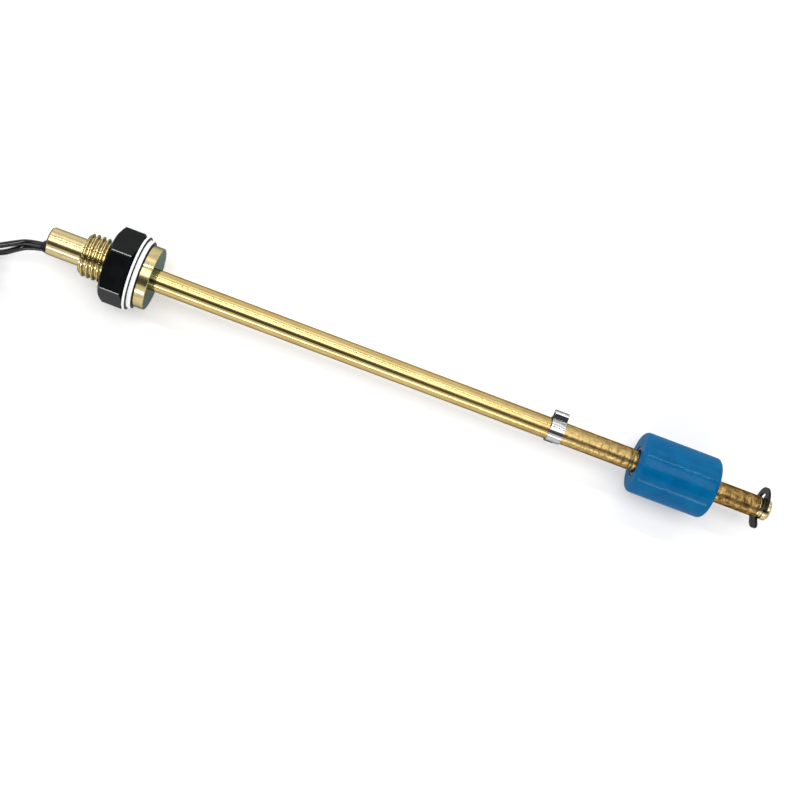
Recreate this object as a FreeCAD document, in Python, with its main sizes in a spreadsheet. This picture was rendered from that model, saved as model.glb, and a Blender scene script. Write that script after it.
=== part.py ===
import FreeCAD, Part
import Sketcher
import math
import os
import re
from FreeCAD import Placement, Rotation, Vector

# Float switch on a long stem. +X runs along the stem, from the flange's sealing face towards
# the float, and +Z is up: the switch lies on its side, as on a table. Millimetres and degrees.

DRIVING = {
    # Turned stem fitting: stub, thread and flange
    "stub_diameter": 10.2,
    "stub_length": 12.8,
    "thread_diameter": 16.0,
    "thread_root_diameter": 13.8,
    "thread_length": 22.2,
    "thread_chamfer": 1.1,
    "undercut_width": 1.5,
    "flange_diameter": 23.0,
    "flange_thickness": 4.0,
    "flange_edge": 0.35,
    "socket_depth": 12.0,
    "well_diameter": 9.0,
    "well_depth": 14.0,
    # Stem tube and end plug
    "stem_diameter": 8.0,
    "stem_wall": 0.8,
    "stem_reach": 235.4,
    "plug_spigot": 7.0,
    "plug_shoulder": 0.8,
    "groove_diameter": 7.0,
    "groove_play": 0.1,
    "plug_nose": 2.6,
    "plug_chamfer": 0.7,
    # Retaining clip in the plug's groove
    "clip_diameter": 15.6,
    "clip_thickness": 0.9,
    "clip_band": 2.2,
    "clip_mouth": 6.1,
    "clip_lug": 2.4,
    "clip_tip_round": 0.8,
    "clip_turn": 38.0,
    # Stop clip: an ear clamp round the stem
    "stop_back": 81.0,
    "stop_width": 5.3,
    "band_thickness": 0.45,
    "strap_share": 0.66,
    "strap_angle": 250.0,
    "ear_width": 3.2,
    "ear_height": 2.6,
    "ear_round": 0.8,
    "ear_turn": -75.0,
    # Washers and mounting nut
    "washer_play": 0.2,
    "seal_diameter": 25.4,
    "seal_thickness": 2.0,
    "washer_diameter": 27.5,
    "washer_thickness": 1.0,
    "nut_flats": 25.0,
    "nut_thickness": 9.5,
    "nut_face_diameter": 24.0,
    "nut_chamfer_outer": 1.4,
    "nut_chamfer_inner": 1.0,
    "nut_mouth": 0.6,
    "nut_turn": -17.8,
    "face_gap": 0.05,
    "nut_play": 0.05,
    # Float, its liner and its magnet
    "float_back": 47.4,
    "float_length": 29.5,
    "float_diameter": 22.8,
    "float_round": 2.0,
    "liner_bore": 9.0,
    "liner_wall": 0.85,
    "liner_recess": 0.3,
    "turning_play": 0.05,
    "magnet_diameter": 17.0,
    "magnet_length": 10.0,
    "pocket_play": 0.1,
    # Reed switch inside the stem
    "reed_ahead": 14.3,
    "reed_drop": 1.45,
    "glass_diameter": 2.2,
    "glass_wall": 0.3,
    "glass_length": 14.0,
    "glass_seal": 2.0,
    "blade_diameter": 0.6,
    "blade_thickness": 0.25,
    "blade_width": 1.1,
    "blade_overlap": 1.2,
    "blade_gap": 0.15,
    "blade_reach": 5.0,
    "sleeve_wall": 0.3,
    "sleeve_length": 17.0,
    "splice_diameter": 1.5,
    "splice_length": 5.0,
    "return_diameter": 0.8,
    "return_height": 1.5,
    # Leads, potting and the coils of the spare length
    "lead_diameter": 2.2,
    "common_back": 24.0,
    "exit_reach": 3.0,
    "exit_side_a": 2.6,
    "exit_side_b": 3.8,
    "exit_rise": 0.95,
    "core_diameter": 0.9,
    "core_length": 4.0,
    "tip_length": 7.0,
    "potting_dome": 2.9,
    "potting_shift": 3.1,
    "floor_drop": 13.75,
    "tie_thickness": 0.6,
    "tie_width": 2.5,
    "tie_play": 0.1,
    "tie_turn": -135.0,
    "coil_back": 28.5,
    "coil_side": 26.0,
    "coil_radius": 12.0,
    "coil_width": 6.6,
    "coil_height": 4.1,
    "coil_edge": 0.9,
    "coil_entry": 110.6,
    "coil_lift": 0.35,
}

doc = FreeCAD.newDocument("float_switch")
sheet = doc.addObject("Spreadsheet::Sheet", "Sizes")
for row, (alias, number) in enumerate(DRIVING.items(), start=1):
    sheet.set(f"A{row}", alias)
    sheet.set(f"B{row}", str(number))
    sheet.setAlias(f"B{row}", alias)
doc.recompute()

WORDS = re.compile(r"[a-z]+(?:_[a-z]+)+")


def formula(text):
    """An expression whose size names point at the sheet."""
    return WORDS.sub(lambda found: "Sizes." + found.group(0), text)


def value(text):
    """What a formula of size names comes to now."""
    return float(sheet.evalExpression(formula(text)))


def bind(thing, **formulas):
    """Tie a thing's properties to size formulas; a double underscore stands for a dot."""
    for name, text in formulas.items():
        thing.setExpression(name.replace("__", "."), formula(text))
    return thing


def origin_part(body, role):
    return next(part for part in body.Origin.OriginFeatures if part.Role == role)


# Places along the stem that several pieces share
THREAD_END = "-thread_length"
STUB_END = "-thread_length - stub_length"
SOCKET_END = "flange_thickness - socket_depth"
SEAL_FACE = "-seal_thickness"
WASHER_FACE = "-seal_thickness - face_gap - washer_thickness"
NUT_INNER = WASHER_FACE + " - face_gap"
NUT_OUTER = NUT_INNER + " - nut_thickness"
STEM_BORE = "stem_diameter / 2 - stem_wall"
GROOVE_START = "stem_reach + plug_shoulder"
GROOVE_END = GROOVE_START + " + clip_thickness + 2 * groove_play"
PLUG_END = GROOVE_END + " + plug_nose"
STOP_START = "stem_reach - stop_back"
FLOAT_START = "stem_reach - float_back"
FLOAT_END = FLOAT_START + " + float_length"
REED_MIDDLE = STOP_START + " + stop_width + reed_ahead"


def turned(label, outline):
    """A body turned about the stem's axis from (along, radius) corners."""
    body = doc.addObject("PartDesign::Body", label)
    sketch = body.newObject("Sketcher::SketchObject", label + "_outline")
    sketch.AttachmentSupport = [(origin_part(body, "XZ_Plane"), "")]
    sketch.MapMode = "FlatFace"
    corners = [Vector(value(along), value(radius), 0) for along, radius in outline]
    count = len(corners)
    for index in range(count):
        sketch.addGeometry(Part.LineSegment(corners[index], corners[(index + 1) % count]))
    for index in range(count):
        following = (index + 1) % count
        sketch.addConstraint(Sketcher.Constraint("Coincident", index, 2, following, 1))
    for index, (along, radius) in enumerate(outline):
        for kind, text, number in (("X", along, corners[index].x), ("Y", radius, corners[index].y)):
            place = sketch.addConstraint(
                Sketcher.Constraint("Distance" + kind, -1, 1, index, 1, number)
            )
            sketch.setExpression(f"Constraints[{place}]", formula(text))
    turning = body.newObject("PartDesign::Revolution", label + "_turned")
    turning.Profile = sketch
    turning.ReferenceAxis = (origin_part(body, "X_Axis"), [""])
    turning.Angle = 360
    doc.recompute()
    return body


def rounded(body, radius, chosen):
    """Round the edges of a body that the test picks."""
    base = body.Tip
    edges = base.Shape.Edges
    names = [f"Edge{index}" for index, edge in enumerate(edges, start=1) if chosen(edge)]
    fillet = body.newObject("PartDesign::Fillet", body.Name + "_rounding")
    fillet.Base = (base, names)
    bind(fillet, Radius=radius)
    doc.recompute()
    return body


def rod(label, start, length, radius, across="0", above="0"):
    """A round bar along +X."""
    bar = doc.addObject("Part::Cylinder", label)
    bar.Placement = Placement(Vector(), Rotation(Vector(0, 1, 0), 90))
    bind(bar, Radius=radius, Height=length)
    bind(bar, Placement__Base__x=start, Placement__Base__y=across, Placement__Base__z=above)
    return bar


def block(label, start, length, left, width, low, height):
    """A box from its lowest corner and its three lengths."""
    box = doc.addObject("Part::Box", label)
    bind(box, Length=length, Width=width, Height=height)
    bind(box, Placement__Base__x=start, Placement__Base__y=left, Placement__Base__z=low)
    return box


def cut(label, base, tool):
    result = doc.addObject("Part::Cut", label)
    result.Base = base
    result.Tool = tool
    return result


def common(label, base, tool):
    result = doc.addObject("Part::Common", label)
    result.Base = base
    result.Tool = tool
    return result


def fuse(label, *shapes):
    result = doc.addObject("Part::MultiFuse", label)
    result.Shapes = list(shapes)
    result.Refine = True
    return result


def pipe(label, start, length, outer, inner, across="0", above="0"):
    """A round tube along +X."""
    outside = rod(label + "_outside", start, length, outer, across, above)
    inside = rod(label + "_inside", start, length, inner, across, above)
    return cut(label, outside, inside)


def about_stem(thing, degrees):
    """Turn a finished piece about the stem's axis."""
    thing.Placement = Placement(Vector(), Rotation(Vector(1, 0, 0), degrees))
    return thing


# Stem fitting: one turned piece with stub, thread, undercut and flange
turned(
    "stem_fitting",
    [
        (STUB_END, "well_diameter / 2"),
        (STUB_END, "stub_diameter / 2"),
        (THREAD_END, "stub_diameter / 2"),
        (THREAD_END, "thread_diameter / 2 - thread_chamfer"),
        ("thread_chamfer - thread_length", "thread_diameter / 2"),
        ("-undercut_width", "thread_diameter / 2"),
        ("-undercut_width", "thread_root_diameter / 2"),
        ("0", "thread_root_diameter / 2"),
        ("0", "flange_diameter / 2 - flange_edge"),
        ("flange_edge", "flange_diameter / 2"),
        ("flange_thickness - flange_edge", "flange_diameter / 2"),
        ("flange_thickness", "flange_diameter / 2 - flange_edge"),
        ("flange_thickness", "stem_diameter / 2"),
        (SOCKET_END, "stem_diameter / 2"),
        (SOCKET_END, STEM_BORE),
        (STUB_END + " + well_depth", STEM_BORE),
        (STUB_END + " + well_depth", "well_diameter / 2"),
    ],
)

# Stem tube, seated in the fitting's socket
pipe("stem_tube", SOCKET_END, f"stem_reach - ({SOCKET_END})", "stem_diameter / 2", STEM_BORE)

# End plug: a spigot in the tube, then a shoulder, the clip's groove and a chamfered nose
turned(
    "end_plug",
    [
        ("stem_reach - plug_spigot", "0"),
        ("stem_reach - plug_spigot", STEM_BORE),
        ("stem_reach", STEM_BORE),
        ("stem_reach", "stem_diameter / 2"),
        (GROOVE_START, "stem_diameter / 2"),
        (GROOVE_START, "groove_diameter / 2"),
        (GROOVE_END, "groove_diameter / 2"),
        (GROOVE_END, "stem_diameter / 2"),
        (PLUG_END + " - plug_chamfer", "stem_diameter / 2"),
        (PLUG_END, "stem_diameter / 2 - plug_chamfer"),
        (PLUG_END, "0"),
    ],
)


def retaining_clip():
    """An E-shaped clip: a ring with a back lug, two side lugs and an open mouth."""
    start = GROOVE_START + " + groove_play"
    outer = rod("clip_blank", start, "clip_thickness", "clip_diameter / 2")
    window = rod("clip_windows", start, "clip_thickness", "clip_diameter / 2 - clip_band")
    ring = cut("clip_ring", outer, window)
    back = block(
        "clip_back_lug",
        start,
        "clip_thickness",
        "-clip_lug / 2",
        "clip_lug",
        "-clip_diameter / 2 + clip_lug / 4",
        "clip_diameter / 2",
    )
    sides = block(
        "clip_side_lugs",
        start,
        "clip_thickness",
        "-clip_mouth / 2 - clip_lug",
        "clip_mouth + 2 * clip_lug",
        "-clip_lug / 2",
        "clip_diameter / 2 - clip_lug / 4",
    )
    inner = rod("clip_round", start, "clip_thickness", "clip_diameter / 2")
    lugs = common("clip_lugs", fuse("clip_lug_blocks", back, sides), inner)
    shaft = rod("clip_seat", start, "clip_thickness", "groove_diameter / 2")
    mouth = block(
        "clip_opening",
        start,
        "clip_thickness",
        "-clip_mouth / 2",
        "clip_mouth",
        "0",
        "clip_diameter",
    )
    opening = fuse("clip_cuts", shaft, mouth)
    sharp = cut("clip_sharp", fuse("clip_solid", ring, lugs), opening)
    doc.recompute()
    tips = [
        index
        for index, edge in enumerate(sharp.Shape.Edges, start=1)
        if edge.Length < value("clip_thickness") * 1.01
        and abs(abs(edge.CenterOfMass.y) - value("clip_mouth") / 2) < 0.01
        and edge.CenterOfMass.z > value("groove_diameter") / 2
    ]
    clip = doc.addObject("Part::Fillet", "retaining_clip")
    clip.Base = sharp
    clip.Edges = [(index, value("clip_tip_round"), value("clip_tip_round")) for index in tips]
    return about_stem(clip, value("clip_turn"))


retaining_clip()


def stop_clip():
    """An ear clamp: a band with its strap's end lapped over it, and one pinched ear."""
    shaft = "stem_diameter / 2"
    lap = shaft + " + band_thickness"
    top = shaft + " + ear_height"
    band = pipe("stop_band", STOP_START, "stop_width", lap, shaft)
    strap_width = "stop_width * strap_share"
    strap = pipe("stop_strap", STOP_START, strap_width, lap + " + band_thickness", lap)
    bind(strap.Base, Angle="strap_angle")
    ear_block = block(
        "ear_block",
        STOP_START,
        "stop_width",
        "-ear_width / 2",
        "ear_width",
        shaft,
        "ear_height",
    )
    ear_gap = block(
        "ear_gap",
        STOP_START,
        "stop_width",
        "band_thickness - ear_width / 2",
        "ear_width - 2 * band_thickness",
        "0",
        top + " - band_thickness",
    )
    doc.recompute()
    edges = [
        index
        for index, edge in enumerate(ear_block.Shape.Edges, start=1)
        if abs(edge.CenterOfMass.z - value(top)) < 0.01
        and abs(edge.Length - value("stop_width")) < 0.01
    ]
    ear = doc.addObject("Part::Fillet", "ear_rounded")
    ear.Base = ear_block
    ear.Edges = [(index, value("ear_round"), value("ear_round")) for index in edges]
    folded = fuse("stop_folded", band, strap, ear)
    seat = rod("stop_seat", STOP_START, "stop_width", shaft)
    clamp = cut("stop_clip", cut("stop_opened", folded, ear_gap), seat)
    return about_stem(clamp, value("ear_turn"))


stop_clip()

# Washers and nut on the thread
WASHER_BORE = "thread_diameter / 2 + washer_play"
pipe("seal_washer", SEAL_FACE, "seal_thickness", "seal_diameter / 2", WASHER_BORE)
pipe("nut_washer", WASHER_FACE, "washer_thickness", "washer_diameter / 2", WASHER_BORE)


def mounting_nut():
    """A hexagon with both its faces chamfered and a bore that turns on the thread."""
    bore = "thread_diameter / 2 + nut_play"
    corner = "nut_flats / sqrt(3)"
    hexagon = doc.addObject("Part::Prism", "nut_hexagon")
    hexagon.Polygon = 6
    turn = Rotation(Vector(1, 0, 0), value("nut_turn")) * Rotation(Vector(0, 1, 0), 90)
    hexagon.Placement = Placement(Vector(), turn)
    bind(hexagon, Circumradius=corner, Height="nut_thickness", Placement__Base__x=NUT_OUTER)
    turning = turned(
        "nut_turning",
        [
            (NUT_OUTER, bore + " + nut_mouth"),
            (NUT_OUTER, "nut_face_diameter / 2"),
            (NUT_OUTER + " + nut_chamfer_outer", corner),
            (NUT_INNER + " - nut_chamfer_inner", corner),
            (NUT_INNER, "nut_face_diameter / 2"),
            (NUT_INNER, bore + " + nut_mouth"),
            (NUT_INNER + " - nut_mouth", bore),
            (NUT_OUTER + " + nut_mouth", bore),
        ],
    )
    return common("mounting_nut", turning, hexagon)


mounting_nut()

# Float: a moulded body that turns on its liner, with the magnet ring in its pocket
LINER_OUTER = "liner_bore / 2 + liner_wall"
FLOAT_BORE = LINER_OUTER + " + turning_play"
POCKET = "magnet_diameter / 2 + pocket_play"
FLOAT_MIDDLE = FLOAT_START + " + float_length / 2"
POCKET_START = FLOAT_MIDDLE + " - magnet_length / 2 - pocket_play"
POCKET_END = FLOAT_MIDDLE + " + magnet_length / 2 + pocket_play"
body = turned(
    "float_body",
    [
        (FLOAT_START, FLOAT_BORE),
        (FLOAT_START, "float_diameter / 2"),
        (FLOAT_END, "float_diameter / 2"),
        (FLOAT_END, FLOAT_BORE),
        (POCKET_END, FLOAT_BORE),
        (POCKET_END, POCKET),
        (POCKET_START, POCKET),
        (POCKET_START, FLOAT_BORE),
    ],
)
rim = value("float_diameter") / 2
rounded(
    body,
    "float_round",
    lambda edge: isinstance(edge.Curve, Part.Circle) and abs(edge.Curve.Radius - rim) < 0.01,
)
pipe(
    "float_liner",
    FLOAT_START + " + liner_recess",
    "float_length - 2 * liner_recess",
    LINER_OUTER,
    "liner_bore / 2",
)
pipe(
    "float_magnet",
    FLOAT_MIDDLE + " - magnet_length / 2",
    "magnet_length",
    "magnet_diameter / 2",
    LINER_OUTER,
)

# Reed switch: a glass tube lying low in the stem, with its two flattened blades
GLASS_START = REED_MIDDLE + " - glass_length / 2"
GLASS_END = REED_MIDDLE + " + glass_length / 2"
LOW = "-reed_drop"


def reed_glass():
    glass = turned(
        "glass_outside",
        [
            (GLASS_START, "0"),
            (GLASS_START, "glass_diameter / 2 - glass_wall"),
            (GLASS_START + " + glass_wall", "glass_diameter / 2"),
            (GLASS_END + " - glass_wall", "glass_diameter / 2"),
            (GLASS_END, "glass_diameter / 2 - glass_wall"),
            (GLASS_END, "0"),
        ],
    )
    bind(glass, Placement__Base__z=LOW)
    hollow_start = GLASS_START + " + glass_seal"
    hollow_length = "glass_length - 2 * glass_seal"
    hollow_radius = "glass_diameter / 2 - glass_wall"
    hollow = rod("glass_hollow", hollow_start, hollow_length, hollow_radius, above=LOW)
    wire = rod("glass_wire", GLASS_START, "glass_length", "blade_diameter / 2", above=LOW)
    return cut("reed_glass", glass, fuse("glass_inside", hollow, wire))


def reed_blade(label, start, flat_start, flat_low):
    """A round lead that is flattened to a blade inside the glass."""
    lead_length = "glass_seal + blade_reach"
    lead = rod(label + "_lead", start, lead_length, "blade_diameter / 2", above=LOW)
    flat_length = "glass_length / 2 - glass_seal + blade_overlap"
    flat = block(
        label + "_flat",
        flat_start,
        flat_length,
        "-blade_width / 2",
        "blade_width",
        flat_low,
        "blade_thickness",
    )
    return fuse(label, lead, flat)


reed_glass()
upper_blade = reed_blade(
    "reed_blade_upper",
    GLASS_START + " - blade_reach",
    GLASS_START + " + glass_seal",
    "blade_gap / 2 - reed_drop",
)
lower_blade = reed_blade(
    "reed_blade_lower",
    GLASS_END + " - glass_seal",
    REED_MIDDLE + " - blade_overlap",
    "-blade_gap / 2 - blade_thickness - reed_drop",
)
pipe(
    "reed_sleeve",
    REED_MIDDLE + " - sleeve_length / 2",
    "sleeve_length",
    "glass_diameter / 2 + sleeve_wall",
    "glass_diameter / 2",
    above=LOW,
)


ARC_SHARE = 0.45


def wire_path(points):
    """Straight runs joined by tangent arcs, each as large as its two runs allow."""
    edges = []
    start = points[0]
    for before, corner, after in zip(points, points[1:], points[2:]):
        back = before - corner
        ahead = after - corner
        turn = math.pi - back.getAngle(ahead)
        reach = ARC_SHARE * min(back.Length, ahead.Length)
        radius = reach / math.tan(turn / 2)
        back.normalize()
        ahead.normalize()
        first = corner + back * reach
        last = corner + ahead * reach
        middle_way = back + ahead
        middle_way.normalize()
        depth = radius / math.cos(turn / 2) - radius
        edges.append(Part.LineSegment(start, first).toShape())
        edges.append(Part.Arc(first, corner + middle_way * depth, last).toShape())
        start = last
    edges.append(Part.LineSegment(start, points[-1]).toShape())
    return Part.Wire(edges)


def wire_solid(label, points, diameter):
    """A round wire along the path, checked against its section times its length."""
    path = wire_path(points)
    heading = points[1] - points[0]
    section = Part.Wire(Part.makeCircle(diameter / 2, points[0], heading))
    solid = path.makePipeShell([section], True, True)
    expected = math.pi * diameter * diameter / 4 * path.Length
    print(label, "length", round(path.Length, 1), "volume", round(solid.Volume / expected, 4))
    return solid


def feature(label, shape):
    piece = doc.addObject("Part::Feature", label)
    piece.Shape = shape
    return piece


# Leads inside the stem, their splices, and the thin wire back from the reed's far end
UPPER_END = GLASS_START + " - blade_reach"
LOWER_END = GLASS_END + " + blade_reach"
COMMON_END = REED_MIDDLE + " - common_back"
HIGH = "return_height"
STEM_MOUTH = STUB_END + " + well_depth"
EXIT = value(STUB_END) - value("exit_reach")
EXIT_A = Vector(EXIT, -value("exit_side_a"), value("exit_rise"))
EXIT_B = Vector(EXIT, -value("exit_side_b"), -value("exit_rise"))
lead = value("lead_diameter")


def inner_lead(label, end, height, leaving):
    """An insulated lead inside the stem, with its bared core at the splice."""
    core_end = Vector(value(end), 0, value(height))
    core_start = core_end - Vector(value("core_length"), 0, 0)
    mouth = Vector(value(STEM_MOUTH), 0, value(height))
    insulation = wire_solid(label, [core_start, mouth, leaving], lead)
    core = Part.makeCylinder(
        value("core_diameter") / 2, value("core_length"), core_start, Vector(1, 0, 0)
    )
    return feature(label, insulation.fuse(core))


inner_a = inner_lead("lead_a_inner", COMMON_END, HIGH, EXIT_A)
inner_b = inner_lead("lead_b_inner", UPPER_END, LOW, EXIT_B)


def return_wire():
    """Out over the reed, round a half circle, and back to its lower blade."""
    radius = (value(HIGH) - value(LOW)) / 2
    turn_place = value(LOWER_END) + value("splice_length") / 2 + value("return_diameter")
    first = Vector(value(COMMON_END), 0, value(HIGH))
    above = Vector(turn_place, 0, value(HIGH))
    outermost = Vector(turn_place + radius, 0, value(HIGH) - radius)
    below = Vector(turn_place, 0, value(LOW))
    last = Vector(value(LOWER_END), 0, value(LOW))
    path = Part.Wire(
        [
            Part.LineSegment(first, above).toShape(),
            Part.Arc(above, outermost, below).toShape(),
            Part.LineSegment(below, last).toShape(),
        ]
    )
    circle = Part.makeCircle(value("return_diameter") / 2, first, Vector(1, 0, 0))
    return feature("return_wire", path.makePipeShell([Part.Wire(circle)], True, True))


back_wire = return_wire()


def splice(label, middle, height, *wires):
    """A crimped barrel over the two wire ends that meet at its middle."""
    barrel = rod(
        label + "_barrel",
        middle + " - splice_length / 2",
        "splice_length",
        "splice_diameter / 2",
        above=height,
    )
    return cut(label, barrel, fuse(label + "_wires", *wires))


splice("splice_common", COMMON_END, HIGH, inner_a, back_wire)
splice("splice_upper", UPPER_END, LOW, inner_b, upper_blade)
splice("splice_lower", LOWER_END, LOW, back_wire, lower_blade)


def potting():
    """Resin that fills the stub's well and stands out in a dome round both leads."""
    fill = rod("potting_fill", STUB_END, "well_depth", "well_diameter / 2")
    ball = doc.addObject("Part::Sphere", "potting_ball")
    bind(ball, Radius="potting_dome", Placement__Base__x=STUB_END)
    bind(ball, Placement__Base__y="-potting_shift")
    front_start = STUB_END + " - stub_diameter"
    front = rod("potting_front", front_start, "stub_diameter", "stub_diameter / 2")
    block_and_dome = fuse("potting_block", fill, common("potting_dome_shape", ball, front))
    return cut("potting", block_and_dome, fuse("potting_leads", inner_a, inner_b))


potting()

# Free leads: down from the potting to the floor, where their spare length lies coiled
FLOOR = -value("floor_drop")
COIL_RADIUS = value("coil_radius")
COIL_LOW = FLOOR + value("tie_thickness")
LEVEL_B = COIL_LOW + lead / 2
LEVEL_A = LEVEL_B + value("coil_height")
UPPER_LAYER = value("coil_height") - lead
COIL_CENTRE = Vector(EXIT - value("coil_back"), -value("coil_side"), 0)

# Each bend of a route, as its share of the way along, across and down to the coil
BENDS_A = [
    (0.125, 0.064, 0.015),
    (0.251, 0.257, 0.193),
    (0.406, 0.524, 0.439),
    (0.591, 0.790, 0.684),
    (0.788, 0.930, 0.871),
]
BENDS_B = [
    (0.122, 0.113, -0.002),
    (0.245, 0.393, 0.167),
    (0.385, 0.718, 0.455),
    (0.567, 0.890, 0.770),
    (0.770, 0.926, 0.941),
]


def free_lead(label, leaving, level, bends):
    """The run from the potting to where the lead joins its coil's outermost turn."""
    outermost = COIL_RADIUS + (value("coil_width") - lead) / 2
    entry = Rotation(Vector(0, 0, 1), value("coil_entry")) * Vector(outermost, 0, 0)
    joining = COIL_CENTRE + entry + Vector(0, 0, level)
    way = joining - leaving
    corners = [
        leaving + Vector(way.x * along, way.y * across, way.z * down)
        for along, across, down in bends
    ]
    return feature(label, wire_solid(label, [leaving, *corners, joining], lead))


free_lead("lead_a", EXIT_A, LEVEL_A + value("coil_lift"), BENDS_A)
free_lead("lead_b", EXIT_B, LEVEL_B, BENDS_B)


def coil(label, low):
    """The outer shape of one lead's turns, lying flat."""
    half = value("coil_width") / 2
    height = value("coil_height")
    base = COIL_CENTRE + Vector(0, 0, low)
    ring = Part.makeCylinder(COIL_RADIUS + half, height, base)
    ring = ring.cut(Part.makeCylinder(COIL_RADIUS - half, height, base))
    rims = [edge for edge in ring.Edges if isinstance(edge.Curve, Part.Circle)]
    return feature(label, ring.makeChamfer(value("coil_edge"), rims))


coil("lead_b_coil", COIL_LOW)
coil("lead_a_coil", COIL_LOW + value("coil_height"))


def bare_tip(label, level):
    """The lead's bared and tinned end, leaving its coil along the turn's tangent."""
    outer = COIL_RADIUS + value("coil_width") / 2
    inside = math.sqrt(outer**2 - COIL_RADIUS**2) - value("core_diameter")
    start = COIL_CENTRE + Vector(inside, -COIL_RADIUS, level)
    radius = value("core_diameter") / 2
    tip = Part.makeCylinder(radius, value("tip_length"), start, Vector(1, 0, 0))
    return feature(label, tip)


bare_tip("lead_a_tip", LEVEL_A + UPPER_LAYER)
bare_tip("lead_b_tip", LEVEL_B + UPPER_LAYER)


def coil_tie():
    """A flat band round both coils at one place."""
    wall = value("tie_thickness")
    across = value("tie_width")
    wide = value("coil_width") + 2 * value("tie_play")
    tall = 2 * value("coil_height")
    corner = Vector(COIL_RADIUS - wide / 2 - wall, -across / 2, FLOOR)
    outside = Part.makeBox(wide + 2 * wall, across, tall + 2 * wall, corner)
    hollow = Part.makeBox(wide, across, tall, corner + Vector(wall, 0, wall))
    tie = feature("coil_tie", outside.cut(hollow))
    tie.Placement = Placement(COIL_CENTRE, Rotation(Vector(0, 0, 1), value("tie_turn")))
    return tie


coil_tie()

NODES = [
    "stem_fitting",
    "stem_tube",
    "end_plug",
    "retaining_clip",
    "stop_clip",
    "seal_washer",
    "nut_washer",
    "mounting_nut",
    "float_body",
    "float_liner",
    "float_magnet",
    "reed_glass",
    "reed_blade_upper",
    "reed_blade_lower",
    "reed_sleeve",
    "return_wire",
    "splice_common",
    "splice_upper",
    "splice_lower",
    "potting",
    "lead_a_inner",
    "lead_b_inner",
    "lead_a",
    "lead_b",
    "lead_a_coil",
    "lead_b_coil",
    "lead_a_tip",
    "lead_b_tip",
    "coil_tie",
]

doc.recompute()
for thing in doc.Objects:
    if "Invalid" in thing.State or "Error" in thing.State:
        raise RuntimeError(f"{thing.Name} did not build: {thing.State}")

os.makedirs("parts", exist_ok=True)
for node in NODES:
    shape = doc.getObject(node).Shape
    if shape.isNull() or not shape.isValid() or not shape.Solids:
        raise RuntimeError(f"{node} has no valid solid")
    shape.exportStep(f"parts/{node}.step")
    print(node, "solids", len(shape.Solids), "volume", round(shape.Volume, 2))
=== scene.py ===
import math

import bmesh
import bpy
from mathutils import Matrix, Vector, noise


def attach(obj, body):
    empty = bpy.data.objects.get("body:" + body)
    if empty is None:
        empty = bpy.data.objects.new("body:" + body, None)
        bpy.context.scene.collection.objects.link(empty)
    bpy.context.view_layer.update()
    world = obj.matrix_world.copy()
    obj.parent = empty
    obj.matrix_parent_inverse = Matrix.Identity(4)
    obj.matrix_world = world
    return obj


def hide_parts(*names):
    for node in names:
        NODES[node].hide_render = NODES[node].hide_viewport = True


# Looks of a float switch that lies on a white surface. +X runs along the stem from the flange's
# sealing face towards the float, +Z is up. Sizes are written in millimetres and turned into
# metres by MM where a vertex or an object is placed.

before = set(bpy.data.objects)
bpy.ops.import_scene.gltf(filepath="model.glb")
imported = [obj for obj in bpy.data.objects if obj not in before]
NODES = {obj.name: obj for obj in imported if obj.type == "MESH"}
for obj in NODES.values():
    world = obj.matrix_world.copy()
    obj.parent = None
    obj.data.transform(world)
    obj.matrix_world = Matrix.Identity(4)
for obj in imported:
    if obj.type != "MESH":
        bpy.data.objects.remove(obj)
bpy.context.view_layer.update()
MM = 0.001

# Turned fitting
STUB_END = -35.0
STUB_RADIUS = 5.1
WELL_RADIUS = 4.5
WELL_END = -21.0
THREAD_END = -22.2
THREAD_RADIUS = 8.0
THREAD_ROOT = 6.85
THREAD_PITCH = 2.0
THREAD_START_RADIUS = 6.9
THREAD_STEP = 0.05
CREST_SHARE = 0.07
SLOPE_SHARE = 0.34
UNDERCUT_START = -1.5
FLANGE_RADIUS = 11.5
FLANGE_THICKNESS = 4.0
SOCKET_END = -8.0

# Stem tube, end plug and the retaining clip's groove
STEM_RADIUS = 4.0
STEM_BORE = 3.2
STEM_REACH = 235.4
PLUG_START = 228.4
GROOVE_START = 236.2
GROOVE_END = 237.3
GROOVE_RADIUS = 3.5
PLUG_END = 239.9
PLUG_CHAMFER = 0.7

# Where along the tube, in metres, its brass turns brown, dull and notched
BROWNING = (0.11, 0.21)
DULLING = (0.08, 0.2)
NOTCHING = (0.15, 0.165)

# Stop clip
STOP_START = 154.4
STOP_WIDTH = 5.3
BAND = 0.45
STRAP_SHARE = 0.66
STRAP_FROM = 105.0
STRAP_TO = 355.0
EAR_ANGLE = -75.0
EAR_WIDTH = 3.2
EAR_TOP = 7.3
EAR_ROUND = 0.8

# Washers and nut
WASHER_BORE = 8.2
SEAL_RADIUS = 12.7
SEAL_THICKNESS = 2.0
WASHER_START = -3.05
WASHER_END = -2.05
WASHER_RADIUS = 13.75
SEAM = 0.2
SEAL_SEAM_REACH = 1.5
WASHER_SEAM_REACH = 2.0
# How far in from each washer's rim its faces are painted dark, as painted shade for the shadow in the
# seams
SEAL_PAINTED_SHADE = 0.35
WASHER_PAINTED_SHADE = 0.3
NUT_OUTER = -12.6
NUT_INNER = -3.1
NUT_BORE = 8.05
NUT_FLATS = 25.0
NUT_FACE_RADIUS = 12.0
NUT_CHAMFER_OUTER = 1.4
NUT_CHAMFER_INNER = 1.0
NUT_MOUTH = 0.6
NUT_FACET = 12.2
NUT_CORNER = 14.23

# Float and liner
FLOAT_START = 188.0
FLOAT_END = 217.5
FLOAT_RADIUS = 11.4
FLOAT_ROUND = 2.0
FLOAT_BORE = 5.4
POCKET_START = 197.65
POCKET_END = 207.85
POCKET_RADIUS = 8.6
LINER_BORE = 4.5
LINER_OUTER = 5.35
LINER_START = 188.3
LINER_END = 217.2

# Potting
DOME_HEIGHT = 2.7
DOME_REACH = 3.1
DOME_RIM = 0.5
DOME_UNEVENNESS = 0.18

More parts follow.
